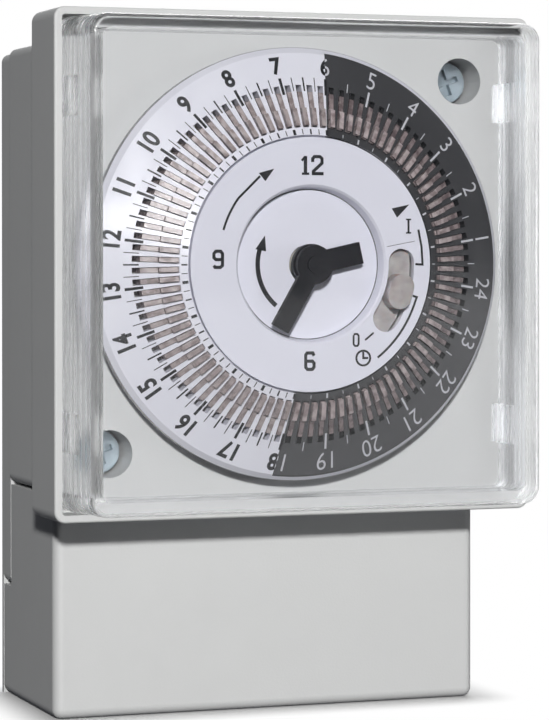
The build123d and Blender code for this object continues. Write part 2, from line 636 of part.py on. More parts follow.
with BuildPart() as hour_hand:
    hand(HOUR_HAND_ANGLE, 7.6, 2.9, 3.1, HOUR_HAND)
    rod((0, 0), HOUR_TUBE_RADIUS, (HOUR_HAND[0] - 1, HOUR_HAND[1]), mode=Mode.SUBTRACT)
save(hour_hand, "hour_hand")

with BuildPart() as minute_hand:
    hand(MINUTE_HAND_ANGLE, 10.4, 2.7, 2.65, MINUTE_HAND)
    rod((0, 0), ARBOR_RADIUS, (MINUTE_HAND[0] - 1, MINUTE_HAND[1]), mode=Mode.SUBTRACT)
save(minute_hand, "minute_hand")

# ---------------------------------------------------------------- gear train
with BuildPart() as hour_wheel:
    rod((0, 0), HOUR_TUBE_RADIUS, (HOUR_HAND[0], HOUR_WHEEL[1]))
    gear((0, 0), HOUR_GEAR_TEETH, COARSE, HOUR_PHASE, HOUR_GEAR)
    gear((0, 0), HOUR_WHEEL_TEETH, FINE, 0, (HOUR_GEAR[1], HOUR_WHEEL[1]))
    rod((0, 0), HOUR_TUBE_BORE, (HOUR_HAND[0] - 1, HOUR_WHEEL[1]), mode=Mode.SUBTRACT)
save(hour_wheel, "hour_wheel")

with BuildPart() as minute_arbor:
    rod((0, 0), ARBOR_RADIUS, (MINUTE_HAND[0] - 0.5, PLATE[1] - 0.3))
    gear((0, 0), CANNON_TEETH, FINE, CANNON_PHASE, (CANNON[0], CENTRE_WHEEL[0]))
    gear((0, 0), CENTRE_WHEEL_TEETH, COARSE, 0, CENTRE_WHEEL)
save(minute_arbor, "minute_arbor")

with BuildPart() as minute_wheel:
    gear(MINUTE_CENTRE, MINUTE_PINION_TEETH, FINE, MINUTE_PHASE, (HOUR_WHEEL[0] + 0.2, CANNON[0]))
    gear(MINUTE_CENTRE, MINUTE_WHEEL_TEETH, FINE, 0, CANNON)
    rod(MINUTE_CENTRE, STUD_RADIUS + RUNNING_GAP, (HOUR_WHEEL[0], CANNON[1]), mode=Mode.SUBTRACT)
save(minute_wheel, "minute_wheel")

with BuildPart() as dial_pinion:
    gear(DRIVE_CENTRE, DIAL_PINION_TEETH, FINE, DRIVE_PHASE, (DIAL_GEAR[0] + 0.1, DIAL_GEAR[1] + 0.1))
    rod(DRIVE_CENTRE, DRIVE_ARBOR_RADIUS, (DIAL_GEAR[0], FLOOR_FRONT), mode=Mode.SUBTRACT)
save(dial_pinion, "dial_pinion")

with BuildPart() as dial_drive_wheel:
    rod(DRIVE_CENTRE, DRIVE_ARBOR_RADIUS, (DIAL_GEAR[0] + 0.1, PLATE[1] - 0.3))
    gear(DRIVE_CENTRE, DRIVE_WHEEL_TEETH, COARSE, 0, HOUR_GEAR)
    rod(DRIVE_CENTRE, DRIVE_ARBOR_RADIUS + 0.9, (HOUR_GEAR[1], PLATE[0] - 0.4))
save(dial_drive_wheel, "dial_drive_wheel")

MOTOR_SHAFT_RADIUS = 1.0
GEARBOX = (30.0, 36.2)
GEARBOX_RADIUS = 9.5

with BuildPart() as motor_pinion:
    gear(MOTOR_CENTRE, MOTOR_PINION_TEETH, COARSE, MOTOR_PHASE, CENTRE_WHEEL)
    rod(MOTOR_CENTRE, MOTOR_SHAFT_RADIUS, (CENTRE_WHEEL[1], GEARBOX[0] + 2))
save(motor_pinion, "motor_pinion")

PLATE_HOLE = (PLATE[0] - 1, PLATE[1])
PLATE_X = (-29.5, 29.5)
PLATE_Z = (-30.0, 29.2)
SWITCH_CUT_X = (16.0, 31.0)
SWITCH_CUT_Z = (-31.0, -7.0)
PLATE_SCREW_RADIUS = 0.93
PLATE_SCREW_HEAD = 2.0

with BuildPart() as movement_plate:
    block(PLATE_X, PLATE, PLATE_Z, corner=2)
    rod((0, 0), ARBOR_RADIUS + RUNNING_GAP, PLATE_HOLE, mode=Mode.SUBTRACT)
    rod(DRIVE_CENTRE, DRIVE_ARBOR_RADIUS + RUNNING_GAP, PLATE_HOLE, mode=Mode.SUBTRACT)
    rod(MOTOR_CENTRE, MOTOR_SHAFT_RADIUS + 0.6, PLATE_HOLE, mode=Mode.SUBTRACT)
    rod(MINUTE_CENTRE, STUD_RADIUS, (HOUR_WHEEL[0] + 0.2, PLATE[0]))
    rod(MINUTE_CENTRE, STUD_RADIUS + 0.7, (CANNON[1] + 0.3, PLATE[0]))
    rod((0, 0), ARBOR_RADIUS + 1.2, (CENTRE_WHEEL[1] + 0.4, PLATE[0]))
    rod((0, 0), ARBOR_RADIUS + RUNNING_GAP, (CENTRE_WHEEL[1], PLATE[0]), mode=Mode.SUBTRACT)
    for centre in PILLARS:
        rod(centre, PLATE_SCREW_RADIUS + 0.32, PLATE_HOLE, mode=Mode.SUBTRACT)
    for centre in SCREW_CENTRES:
        rod(centre, BOSS_RADIUS + 0.8, PLATE_HOLE, mode=Mode.SUBTRACT)
    block(SWITCH_CUT_X, PLATE_HOLE, SWITCH_CUT_Z, Mode.SUBTRACT)
save(movement_plate, "movement_plate")

with BuildPart() as plate_screws:
    for x, z in PILLARS:
        rod((x, z), PLATE_SCREW_RADIUS, (PLATE[0] - 4, PLATE[1]))
        rod((x, z), PLATE_SCREW_HEAD, (PLATE[1], PLATE[1] + 1.4))
        slot_x = (x - PLATE_SCREW_HEAD - 0.1, x + PLATE_SCREW_HEAD + 0.1)
        block(slot_x, (PLATE[1] + 0.8, PLATE[1] + 1.5), (z - 0.3, z + 0.3), Mode.SUBTRACT)
save(plate_screws, "plate_screws")

# ---------------------------------------------------------------- motor
YOKE_X = (7.4, 10.6)
YOKE = (36.4, 38.0)
COIL_RADIUS = 4.3
COIL_Z = (-19.0, -3.5)

with BuildPart() as motor_gearbox:
    rod(MOTOR_CENTRE, GEARBOX_RADIUS, GEARBOX)
    fillet(motor_gearbox.edges().group_by(Axis.Y)[-1], 0.8)
    rod(MOTOR_CENTRE, 3.0, (PLATE[1], GEARBOX[0]))
    rod(MOTOR_CENTRE, MOTOR_SHAFT_RADIUS + RUNNING_GAP, (PLATE[1] - 1, GEARBOX[0] + 2.4), mode=Mode.SUBTRACT)
save(motor_gearbox, "motor_gearbox")

STATOR_X = (-17.0, -4.0)
STATOR_Z = (-24.0, 1.0)
STATOR_GAP = (-12.4, -8.8)
ROTOR_HOLE_RADIUS = 3.2

with BuildPart() as motor_stator:
    block(YOKE_X, YOKE, STATOR_Z)
    block((STATOR_X[0], YOKE_X[1]), YOKE, (STATOR_Z[0], STATOR_Z[0] + 4))
    block((STATOR_X[0], YOKE_X[1]), YOKE, (STATOR_Z[1] - 3, STATOR_Z[1]))
    block(STATOR_X, YOKE, (STATOR_Z[0], STATOR_GAP[0]))
    block(STATOR_X, YOKE, (STATOR_GAP[1], STATOR_Z[1]))
    rod(MOTOR_CENTRE, ROTOR_HOLE_RADIUS, (YOKE[0] - 1, YOKE[1]), mode=Mode.SUBTRACT)
save(motor_stator, "motor_stator")

with BuildPart() as motor_coil:
    coil_x = sum(YOKE_X) / 2
    coil_y = sum(YOKE) / 2 - DEPTH
    with BuildSketch(Plane(origin=(coil_x, coil_y, COIL_Z[0]), z_dir=(0, 0, 1))):
        Circle(COIL_RADIUS)
    extrude(amount=COIL_Z[1] - COIL_Z[0])
    for end in COIL_Z:
        with BuildSketch(Plane(origin=(coil_x, coil_y, end - 0.5), z_dir=(0, 0, 1))):
            RectangleRounded(9.4, 9.4, 1)
        extrude(amount=1)
    block(YOKE_X, YOKE, (COIL_Z[0] - 2, COIL_Z[1] + 2), Mode.SUBTRACT)
save(motor_coil, "motor_coil")

# ---------------------------------------------------------------- circuit board and its parts
BOARD_FRONT = BOARD[0]
BOARD_NOTCH = SCREW_OFFSET - BOSS_RADIUS - 0.8
CRYSTAL_RADIUS = 1.5
CHIP_X = (-19.0, -10.2)
CHIP_Z = (5.0, 9.0)
PIN_PITCH = 1.27
PIN_COUNT = 7
PIN_REACH = 0.6
BATTERY_CENTRE = (10.0, 17.0)
BATTERY_RADIUS = 7.75

with BuildPart() as circuit_board:
    block((-30.0, 24.0), BOARD, (-30.4, 29.6), corner=1)
    for side in (-1, 1):
        notch = sorted((side * BOARD_NOTCH, side * BODY_HALF_WIDTH))
        block(notch, (BOARD[0] - 1, BOARD[1]), notch, Mode.SUBTRACT)
save(circuit_board, "circuit_board")

with BuildPart() as quartz_crystal:
    with BuildSketch(Plane(origin=(-24.0, BOARD_FRONT - CRYSTAL_RADIUS - DEPTH, 1.0), z_dir=(0, 0, 1))):
        Circle(CRYSTAL_RADIUS)
    extrude(amount=6.2)
save(quartz_crystal, "quartz_crystal")

with BuildPart() as control_chip:
    block(CHIP_X, (BOARD_FRONT - 1.6, BOARD_FRONT - 0.2), CHIP_Z)
    for row in (CHIP_Z[0] - PIN_REACH, CHIP_Z[1] + PIN_REACH):
        for pin in range(PIN_COUNT):
            pin_x = CHIP_X[0] + PIN_REACH + PIN_PITCH * pin
            pin_z = (row - PIN_REACH, row + PIN_REACH)
            block((pin_x - 0.2, pin_x + 0.2), (BOARD_FRONT - 0.8, BOARD_FRONT), pin_z)
save(control_chip, "control_chip")

with BuildPart() as supply_capacitor:
    block((-22.0, -9.0), (BOARD_FRONT - 11.0, BOARD_FRONT), (16.0, 22.0))
    fillet(supply_capacitor.edges(), 0.5)
save(supply_capacitor, "supply_capacitor")

with BuildPart() as reserve_battery:
    rod(BATTERY_CENTRE, BATTERY_RADIUS, (BOARD_FRONT - 6.0, BOARD_FRONT))
    fillet(reserve_battery.edges().group_by(Axis.Y)[0], 0.6)
save(reserve_battery, "reserve_battery")

BLADE_HALF = 2.0
BLADE_Z = (-46.5, -28.0)
BLADE_THICKNESS = BLADE_DEPTH[1] - BLADE_DEPTH[0]

with BuildPart() as plug_blades:
    for x in TERMINAL_X:
        blade_x = (x - BLADE_HALF, x + BLADE_HALF)
        block(blade_x, BLADE_DEPTH, BLADE_Z)
        block(blade_x, (BLADE_DEPTH[0], BOARD_FRONT), (BLADE_Z[1] - BLADE_THICKNESS, BLADE_Z[1]))
save(plug_blades, "plug_blades")

# ---------------------------------------------------------------- snap switch and its lever
PLUNGER_Z = LEVER_TAIL
PLUNGER_END = 28.9
PLUNGER_DEPTH = 18.1
PLUNGER_RADIUS = 0.68
PLUNGER_HOLE_RADIUS = 0.75
PLUNGER_INSIDE = 1.5
SWITCH_HOLES = ((19.5, -24.0), (19.5, -12.0))
SWITCH_HOLE_RADIUS = 1.1

with BuildPart() as microswitch_case:
    block(SWITCH_X, SWITCH_DEPTH, SWITCH_Z)
    fillet(microswitch_case.edges().filter_by(Axis.Y), 0.6)
    mouth = Plane(origin=(SWITCH_X[1], PLUNGER_DEPTH - DEPTH, PLUNGER_Z), z_dir=(1, 0, 0))
    with BuildSketch(mouth):
        Circle(PLUNGER_HOLE_RADIUS)
    extrude(amount=-PLUNGER_INSIDE - 1, mode=Mode.SUBTRACT)
    for hole in SWITCH_HOLES:
        rod(hole, SWITCH_HOLE_RADIUS, SWITCH_DEPTH, mode=Mode.SUBTRACT)
save(microswitch_case, "microswitch_case")

with BuildPart() as microswitch_plunger:
    with BuildSketch(mouth.offset(-PLUNGER_INSIDE)):
        Circle(PLUNGER_RADIUS)
    extrude(amount=PLUNGER_END - SWITCH_X[1] + PLUNGER_INSIDE)
save(microswitch_plunger, "microswitch_plunger")

LEVER_HUB_RADIUS = 2.6
TAIL_GAP = 0.1
TAIL_THICKNESS = 1.8

with BuildPart() as trip_lever:
    nose = polar(NOSE_MIDDLE, POINTER_ANGLE)
    with BuildSketch(at(LEVER[0])):
        with BuildLine():
            Polyline(
                (nose[0] - 0.6, nose[1] - 1.6),
                (nose[0] + 1.6, nose[1] - 2.0),
                (LEVER_PIVOT[0] - 1.4, LEVER_PIVOT[1] + 4),
                (LEVER_PIVOT[0] - 2.2, LEVER_PIVOT[1]),
                (PLUNGER_END + TAIL_GAP, PLUNGER_Z + 3),
                (PLUNGER_END + TAIL_GAP, PLUNGER_Z - 1.5),
                (PLUNGER_END + TAIL_GAP + TAIL_THICKNESS, PLUNGER_Z - 1.5),
                (LEVER_PIVOT[0] + 2.0, LEVER_PIVOT[1]),
                (LEVER_PIVOT[0] + 1.4, LEVER_PIVOT[1] + 5),
                (nose[0] + 1.6, nose[1] + 1.4),
                (nose[0] - 0.6, nose[1] + 1.4),
                close=True,
            )
        make_face()
        with Locations(LEVER_PIVOT):
            Circle(LEVER_HUB_RADIUS)
    extrude(amount=LEVER[0] - LEVER[1])
    with BuildSketch(at(NOSE_FRONT)):
        with Locations(Location(nose, POINTER_ANGLE)):
            Rectangle(NOSE_OUTER - NOSE_INNER, 2 * NOSE_HALF)
    extrude(amount=NOSE_FRONT - LEVER[1])
    rod(LEVER_PIVOT, LEVER_PIN_RADIUS + RUNNING_GAP, (LEVER[0] - 1, LEVER[1]), mode=Mode.SUBTRACT)
save(trip_lever, "trip_lever")
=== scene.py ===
"""Looks of a wall-mounted 24-hour dial time switch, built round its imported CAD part."""

import math

import bmesh
import bpy
from mathutils import Matrix, Vector


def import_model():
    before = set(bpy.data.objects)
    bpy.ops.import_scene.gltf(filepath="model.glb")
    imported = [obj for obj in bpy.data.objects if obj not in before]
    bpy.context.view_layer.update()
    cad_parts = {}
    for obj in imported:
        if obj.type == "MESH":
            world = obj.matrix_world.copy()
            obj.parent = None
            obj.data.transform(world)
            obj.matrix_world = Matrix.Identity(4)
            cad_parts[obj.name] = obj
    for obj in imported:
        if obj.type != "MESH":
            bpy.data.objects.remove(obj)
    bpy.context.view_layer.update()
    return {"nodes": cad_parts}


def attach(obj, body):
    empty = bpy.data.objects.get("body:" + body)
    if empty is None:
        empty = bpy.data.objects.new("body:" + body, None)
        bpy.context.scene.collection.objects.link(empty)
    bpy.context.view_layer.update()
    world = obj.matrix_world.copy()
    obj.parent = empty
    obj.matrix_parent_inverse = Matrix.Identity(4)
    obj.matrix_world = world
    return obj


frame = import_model()
NODES = frame["nodes"]
SCENE = bpy.context.scene

MM = 0.001
DEPTH = 52.5
LIFT = 0.035
SINK = 0.03

# The dial's shape and print, in millimetres and degrees.
CONE_RADIUS = 18.3
CONE_DEPTH = 5.15
CONE_SLOPE = math.tan(math.radians(24))
POINTER = 30.0
DIAL_TIME = 2.5
DARK_CENTRE = -7.5
DARK_INNER = 18.2
DARK_OUTER = 30.4
# Radius past which the dial's outer side is painted darker, as shade of the gap round the dial.
SHADED_RIM_RADIUS = 30.93
PRINT_BACK = -41.0
NIB_END = 22.2
NUMBER_RADIUS = 28.4
NUMBER_HEIGHT = 2.55
FACE_DEPTH = 4.9
FLOOR_DEPTH = 6.7

# Where the clear cover's side walls begin, in millimetres from its centre lines.
WALL_X = 31.5
WALL_Z = 32.6
WALL_BLEND = 0.2

# How far roughness wanders either side of its mean.
WEAR = 0.06


# ---------------------------------------------------------------- node trees
class Tree:
    """Short way to add and link shader nodes."""

    def __init__(self, tree):
        self.tree = tree
        tree.nodes.clear()

    def add(self, kind, **values):
        node = self.tree.nodes.new(kind)
        for name, value in values.items():
            if hasattr(node, name):
                setattr(node, name, value)
            else:
                node.inputs[name.replace("_", " ")].default_value = value
        return node

    def link(self, source, target):
        self.tree.links.new(source, target)

    def math(self, operation, first, second=0.0):
        node = self.add("ShaderNodeMath", operation=operation)
        for index, value in enumerate((first, second)):
            if isinstance(value, (int, float)):
                node.inputs[index].default_value = value
            else:
                self.link(value, node.inputs[index])
        return node.outputs[0]

    def mix(self, factor, first, second):
        """Colour mix; each side is a colour or a socket."""
        node = self.add("ShaderNodeMix", data_type="RGBA")
        for index, value in ((0, factor), (6, first), (7, second)):
            if isinstance(value, bpy.types.NodeSocket):
                self.link(value, node.inputs[index])
            else:
                node.inputs[index].default_value = value
        return node.outputs[2]

    def noise(self, scale, detail=3.0):
        node = self.add("ShaderNodeTexNoise", Scale=scale, Detail=detail)
        self.link(self.place, node.inputs["Vector"])
        return node.outputs["Fac"]

    def ramp(self, value, low, high, start=0.0, end=1.0):
        """Smooth step of a value from low to high."""
        node = self.add("ShaderNodeMapRange", interpolation_type="SMOOTHSTEP")
        self.link(value, node.inputs["Value"])
        node.inputs["From Min"].default_value = low
        node.inputs["From Max"].default_value = high
        node.inputs["To Min"].default_value = start
        node.inputs["To Max"].default_value = end
        return node.outputs["Result"]


def rgba(colour):
    """Linear colour with alpha, from 0-255 display values."""
    return tuple(((c / 255 + 0.055) / 1.055) ** 2.4 if c > 10 else c / 255 / 12.92 for c in colour) + (1.0,)


def scaled(colour, factor):
    return tuple(min(1.0, c * factor) for c in colour[:3]) + (1.0,)


def start_material(name):
    material = bpy.data.materials.new(name)
    material.use_nodes = True
    tree = Tree(material.node_tree)
    tree.place = tree.add("ShaderNodeTexCoord").outputs["Object"]
    tree.shader = tree.add("ShaderNodeBsdfPrincipled")
    tree.output = tree.add("ShaderNodeOutputMaterial")
    tree.link(tree.shader.outputs[0], tree.output.inputs["Surface"])
    return material, tree


def grain(tree, scale, strength, height=0.05):
    """Fine bump, with its height in millimetres."""
    bump = tree.add("ShaderNodeBump", Strength=strength, Distance=height * MM)
    tree.link(tree.noise(scale, 4.0), bump.inputs["Height"])
    tree.link(bump.outputs[0], tree.shader.inputs["Normal"])


def surface(name, colour, rough, vary, patch=90.0, fine=2500.0, bump=0.25, **fixed):
    """Material with colour and roughness that vary, and fine grain."""
    material, tree = start_material(name)
    base = rgba(colour)
    tone = tree.mix(tree.noise(patch), scaled(base, 1 - vary), scaled(base, 1 + vary))
    tree.link(tone, tree.shader.inputs["Base Color"])
    wear = tree.ramp(tree.noise(patch * 3), 0.3, 0.7, rough - WEAR, rough + WEAR)
    tree.link(wear, tree.shader.inputs["Roughness"])
    for socket, value in fixed.items():
        tree.shader.inputs[socket.replace("_", " ")].default_value = value
    grain(tree, fine, bump)
    return material


def brushed(name, colour, rough, stretch):
    """Metal with fine lines along one axis."""
    material, tree = start_material(name)
    mapping = tree.add("ShaderNodeMapping", Scale=stretch)
    tree.link(tree.place, mapping.inputs["Vector"])
    tree.place = mapping.outputs[0]
    base = rgba(colour)
    tone = tree.mix(tree.noise(600.0), scaled(base, 0.82), scaled(base, 1.12))
    tree.link(tone, tree.shader.inputs["Base Color"])
    lines = tree.ramp(tree.noise(900.0), 0.3, 0.7, rough - 0.08, rough + 0.1)
    tree.link(lines, tree.shader.inputs["Roughness"])
    tree.shader.inputs["Metallic"].default_value = 1.0
    grain(tree, 1800.0, 0.2)
    return material


def clear_material(name, tint, rough, shadow, wave):
    """Clear moulded plastic, streaky in its side walls, that lets light through to what is inside it."""
    material, tree = start_material(name)
    tint = rgba(tint)
    tree.link(tree.mix(tree.noise(40.0), scaled(tint, 0.985), tint), tree.shader.inputs["Base Color"])
    axes = tree.add("ShaderNodeSeparateXYZ")
    tree.link(tree.place, axes.inputs[0])
    wide, high = (
        tree.ramp(tree.math("ABSOLUTE", axes.outputs[axis]), start * MM, (start + WALL_BLEND) * MM)
        for axis, start in (("X", WALL_X), ("Z", WALL_Z))
    )
    streak = tree.add("ShaderNodeTexNoise", noise_dimensions="1D", Scale=700.0, Detail=2.0)
    tree.link(axes.outputs["Y"], streak.inputs["W"])
    haze = tree.ramp(streak.outputs["Fac"], 0.35, 0.65, 0.1, 0.34)
    fine = tree.ramp(tree.noise(260.0), 0.35, 0.7, rough, rough + 0.03)
    wall = tree.math("MULTIPLY", tree.math("MAXIMUM", wide, high), haze)
    tree.link(tree.math("ADD", fine, wall), tree.shader.inputs["Roughness"])
    tree.shader.inputs["Transmission Weight"].default_value = 1.0
    tree.shader.inputs["IOR"].default_value = 1.5
    grain(tree, 160.0, wave, 0.1)
    through = tree.add("ShaderNodeBsdfTransparent", Color=rgba(shadow))
    choice = tree.add("ShaderNodeMixShader")
    rays = tree.add("ShaderNodeLightPath")
    tree.link(rays.outputs["Is Shadow Ray"], choice.inputs[0])
    tree.link(tree.shader.outputs[0], choice.inputs[1])
    tree.link(through.outputs[0], choice.inputs[2])
    tree.link(choice.outputs[0], tree.output.inputs["Surface"])
    return material


def dark_side(tree):
    """1 on the half of the dial that is printed dark, from the place in the dial's plane."""
    axes = tree.add("ShaderNodeSeparateXYZ")
    tree.link(tree.place, axes.inputs[0])
    turn = math.radians(DARK_CENTRE)
    along = tree.math("MULTIPLY", axes.outputs["X"], math.cos(turn))
    across = tree.math("MULTIPLY", axes.outputs["Z"], math.sin(turn))
    return axes, tree.ramp(tree.math("ADD", along, across), -0.02 * MM, 0.02 * MM)


def radius_of(tree, axes):
    wide = tree.math("POWER", axes.outputs["X"], 2.0)
    high = tree.math("POWER", axes.outputs["Z"], 2.0)
    return tree.math("SQRT", tree.math("ADD", wide, high))


def dial_material():
    """White dial with half of its cone printed dark grey, and painted shade on its outer side."""
    material, tree = start_material("dial_finish")
    axes, dark = dark_side(tree)
    radius = radius_of(tree, axes)
    inner = tree.ramp(radius, (DARK_INNER - 0.03) * MM, DARK_INNER * MM)
    outer = tree.ramp(radius, DARK_OUTER * MM, (DARK_OUTER + 0.05) * MM, 1.0, 0.0)
    front = tree.ramp(axes.outputs["Y"], PRINT_BACK * MM, (PRINT_BACK + 0.1) * MM, 1.0, 0.0)
    printed = tree.math("MULTIPLY", tree.math("MULTIPLY", inner, outer), tree.math("MULTIPLY", dark, front))
    tone = tree.noise(120.0)
    white = tree.mix(tone, rgba((228, 228, 239)), rgba((240, 240, 248)))
    grey = tree.mix(tone, rgba((54, 54, 56)), rgba((66, 66, 68)))
    # Painted shade: past this radius the dial's side takes a blue-grey colour that stands for the shadow in
    # the gap between the dial and the front plate.
    rim_shade = tree.ramp(radius, SHADED_RIM_RADIUS * MM, (SHADED_RIM_RADIUS + 0.04) * MM)
    body = tree.mix(rim_shade, white, rgba((96, 96, 104)))
    tree.link(tree.mix(printed, body, grey), tree.shader.inputs["Base Color"])
    tree.link(tree.ramp(tree.noise(300.0), 0.3, 0.7, 0.15, 0.2), tree.shader.inputs["Roughness"])
    grain(tree, 1500.0, 0.06)
    return material


def tappet_material():
    """Translucent tappets, deeper in tone beside the dark print: painted shade, with darker copies of their
    colour standing for the dark print seen through them.
    """
    material, tree = start_material("tappet_finish")
    axes, dark = dark_side(tree)
    radius = radius_of(tree, axes)
    nib = tree.ramp(radius, NIB_END * MM, (NIB_END + 0.2) * MM, 1.0, 0.0)
    tone = tree.ramp(tree.noise(800.0, 2.0), 0.25, 0.75)
    # Painted shade: one plastic in a light copy for the white half, a deeper copy where the dark print
    # shows through, and a paler copy at the nib ends.
    light = tree.mix(tone, rgba((130, 117, 116)), rgba((172, 161, 160)))
    print_shaded = tree.mix(tone, rgba((92, 79, 80)), rgba((146, 132, 132)))
    pale = tree.mix(tone, rgba((132, 117, 117)), rgba((196, 183, 183)))
    shade = tree.mix(nib, print_shaded, pale)
    tree.link(tree.mix(dark, light, shade), tree.shader.inputs["Base Color"])
    tree.link(tree.ramp(tone, 0.3, 0.7, 0.25, 0.4), tree.shader.inputs["Roughness"])
    grain(tree, 1600.0, 0.3)
    return material


CASE = (213, 214, 214)
FINISHES = {
    "case_plastic": surface("case_finish", CASE, 0.5, vary=0.02, fine=3200.0, bump=0.35),
    "base_plastic": surface("base_finish", CASE, 0.5, vary=0.02, fine=3200.0, bump=0.35),
    "clear_plastic": clear_material("clear_finish", (251, 252, 254), 0.012, (254, 254, 254), wave=0.03),
    "dial_plastic": dial_material(),
    "tappet_plastic": tappet_material(),
    "face_plastic": surface("face_finish", (227, 227, 238), 0.38, vary=0.012, fine=2600.0, bump=0.12),
    "hand_black": surface(
        "hand_finish", (15, 15, 18), 0.5, vary=0.08, fine=2600.0, bump=0.3, Specular_IOR_Level=0.12
    ),
    "selector_plastic": surface(
        "selector_finish",
        (176, 170, 169),
        0.2,
        vary=0.4,
        patch=700.0,
        Subsurface_Weight=0.3,
        Subsurface_Scale=0.002,
    ),
    "gear_plastic": surface("gear_finish", (232, 228, 214), 0.35, vary=0.04),
    "zinc_screw": brushed("zinc_finish", (134, 144, 150), 0.45, (1.0, 0.2, 0.3)),
    "terminal_plastic": surface("terminal_finish", (58, 60, 62), 0.5, vary=0.08),
    "contact_brass": brushed("contact_finish", (206, 170, 96), 0.3, (1.0, 1.0, 0.1)),
    "frame_brass": brushed("frame_finish", (200, 168, 98), 0.32, (0.08, 1.0, 1.0)),
    "motor_case_plastic": surface("motor_case_finish", (44, 46, 50), 0.45, vary=0.08),
    "lamination_steel": brushed("lamination_finish", (150, 152, 158), 0.4, (0.1, 3.0, 1.0)),
    "coil_copper": brushed("coil_finish", (176, 96, 52), 0.35, (0.05, 1.0, 3.0)),
    "board_green": surface("board_finish", (34, 92, 58), 0.38, vary=0.18, patch=300.0),
    "crystal_can": brushed("crystal_finish", (196, 198, 202), 0.25, (1.0, 1.0, 0.1)),
    "chip_black": surface("chip_finish", (30, 30, 32), 0.5, vary=0.12),
    "capacitor_yellow": surface("capacitor_finish", (206, 168, 48), 0.4, vary=0.06),
    "battery_steel": brushed("battery_finish", (186, 188, 190), 0.28, (0.2, 1.0, 1.0)),
    "switch_plastic": surface("switch_finish", (36, 38, 42), 0.42, vary=0.08),
    "plunger_red": surface("plunger_finish", (176, 40, 34), 0.35, vary=0.08),
    "lever_plastic": surface("lever_finish", (228, 226, 220), 0.38, vary=0.04),
}
INK = surface("ink_black", (13, 13, 16), 0.5, vary=0.12, patch=500.0, bump=0.15, Specular_IOR_Level=0.2)
PALE_INK = surface("ink_white", (206, 206, 212), 0.45, vary=0.08, patch=500.0, bump=0.15)


def finish_nodes():
    """Give every CAD node the finish of its material slot."""
    for node in NODES.values():
        for index, old in enumerate(list(node.data.materials)):
            node.data.materials[index] = FINISHES[old.name.split(".")[0]]


# ---------------------------------------------------------------- printed marks
def on_cone(x, z, rise):
    """Point of the dial's front, raised by rise towards the front."""
    radius = math.hypot(x, z)
    depth = CONE_DEPTH + max(0.0, radius - CONE_RADIUS) * CONE_SLOPE
    return Vector((x, depth - DEPTH - rise, z)) * MM


def on_plane(depth):
    def place(x, z, rise):
        return Vector((x, depth - DEPTH - rise, z)) * MM

    return place


class Print:
    """Closed thin slabs laid on a surface, gathered in one mesh."""

    def __init__(self, name, place, body, material):
        self.name, self.place, self.body, self.material = name, place, body, material
        self.points, self.faces = [], []

    def slab(self, outline, cap):
        """One slab: outline points in order, and the faces that fill it."""
        base, count = len(self.points), len(outline)
        for rise in (LIFT, -SINK):
            self.points += [self.place(x, z, rise) for x, z in outline]
        for face in cap:
            self.faces.append([base + i for i in face])
            self.faces.append([base + count + i for i in reversed(face)])
        for i in range(count):
            after = (i + 1) % count
            self.faces.append([base + i, base + count + i, base + count + after, base + after])

    def ribbon(self, line, width):
        """Line of constant width through points."""
        left, right = [], []
        for i, point in enumerate(line):
            before, after = line[max(0, i - 1)], line[min(len(line) - 1, i + 1)]
            first = Vector(point) - Vector(before)
            second = Vector(after) - Vector(point)
            first = (first if first.length > 0 else second).normalized()
            second = (second if second.length > 0 else first).normalized()
            along = (first + second).normalized()
            side = Vector((-along.y, along.x)) * width / 2 / max(0.5, along.dot(first))
            left.append(tuple(Vector(point) + side))
            right.append(tuple(Vector(point) - side))
        count = len(line)
        outline = left + right[::-1]
        cap = [(i, i + 1, 2 * count - 2 - i, 2 * count - 1 - i) for i in range(count - 1)]
        self.slab(outline, cap)

    def ring(self, centre, radius, width, steps=40):
        """Closed circular line."""
        turns = [2 * math.pi * i / steps for i in range(steps)]
        base = len(self.points)
        for rise in (LIFT, -SINK):
            for reach in (radius + width / 2, radius - width / 2):
                for turn in turns:
                    x = centre[0] + reach * math.cos(turn)
                    self.points.append(self.place(x, centre[1] + reach * math.sin(turn), rise))
        rings = [base + steps * k for k in range(4)]
        for a, b in ((0, 1), (1, 3), (3, 2), (2, 0)):
            for i in range(steps):
                j = (i + 1) % steps
                self.faces.append([rings[a] + i, rings[a] + j, rings[b] + j, rings[b] + i])

    def polygon(self, points):
        self.slab(points, [tuple(range(len(points)))])

    def glyph(self, mesh, place):
        """Text mesh; place turns its flat x and y into a point of the print's plane."""
        base = len(self.points)
        for vertex in mesh.vertices:
            x, z = place(vertex.co.x, vertex.co.y)
            self.points.append(self.place(x, z, LIFT if vertex.co.z > 0 else -SINK))
        for face in mesh.polygons:
            self.faces.append([base + i for i in face.vertices])

    def build(self):
        mesh = bpy.data.meshes.new(self.name)
        mesh.from_pydata(self.points, [], self.faces)
        tidy = bmesh.new()
        tidy.from_mesh(mesh)
        bmesh.ops.remove_doubles(tidy, verts=tidy.verts, dist=1e-8)
        bmesh.ops.dissolve_degenerate(tidy, dist=1e-8, edges=tidy.edges)
        bmesh.ops.recalc_face_normals(tidy, faces=tidy.faces)
        tidy.to_mesh(mesh)
        tidy.free()
        mesh.materials.append(self.material)
        made = bpy.data.objects.new(self.name, mesh)
        SCENE.collection.objects.link(made)
        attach(made, self.body)


def polar(radius, angle):
    turn = math.radians(angle)
    return (radius * math.cos(turn), radius * math.sin(turn))


def arc(radius, start, end, steps=16):
    """Points of an arc about the dial axis."""
    radii = radius if isinstance(radius, tuple) else (radius, radius)
    line = []
    for i in range(steps + 1):
        share = i / steps
        line.append(polar(radii[0] + (radii[1] - radii[0]) * share, start + (end - start) * share))
    return line


def hour_angle(hour):
    return POINTER + 15 * (hour - DIAL_TIME)


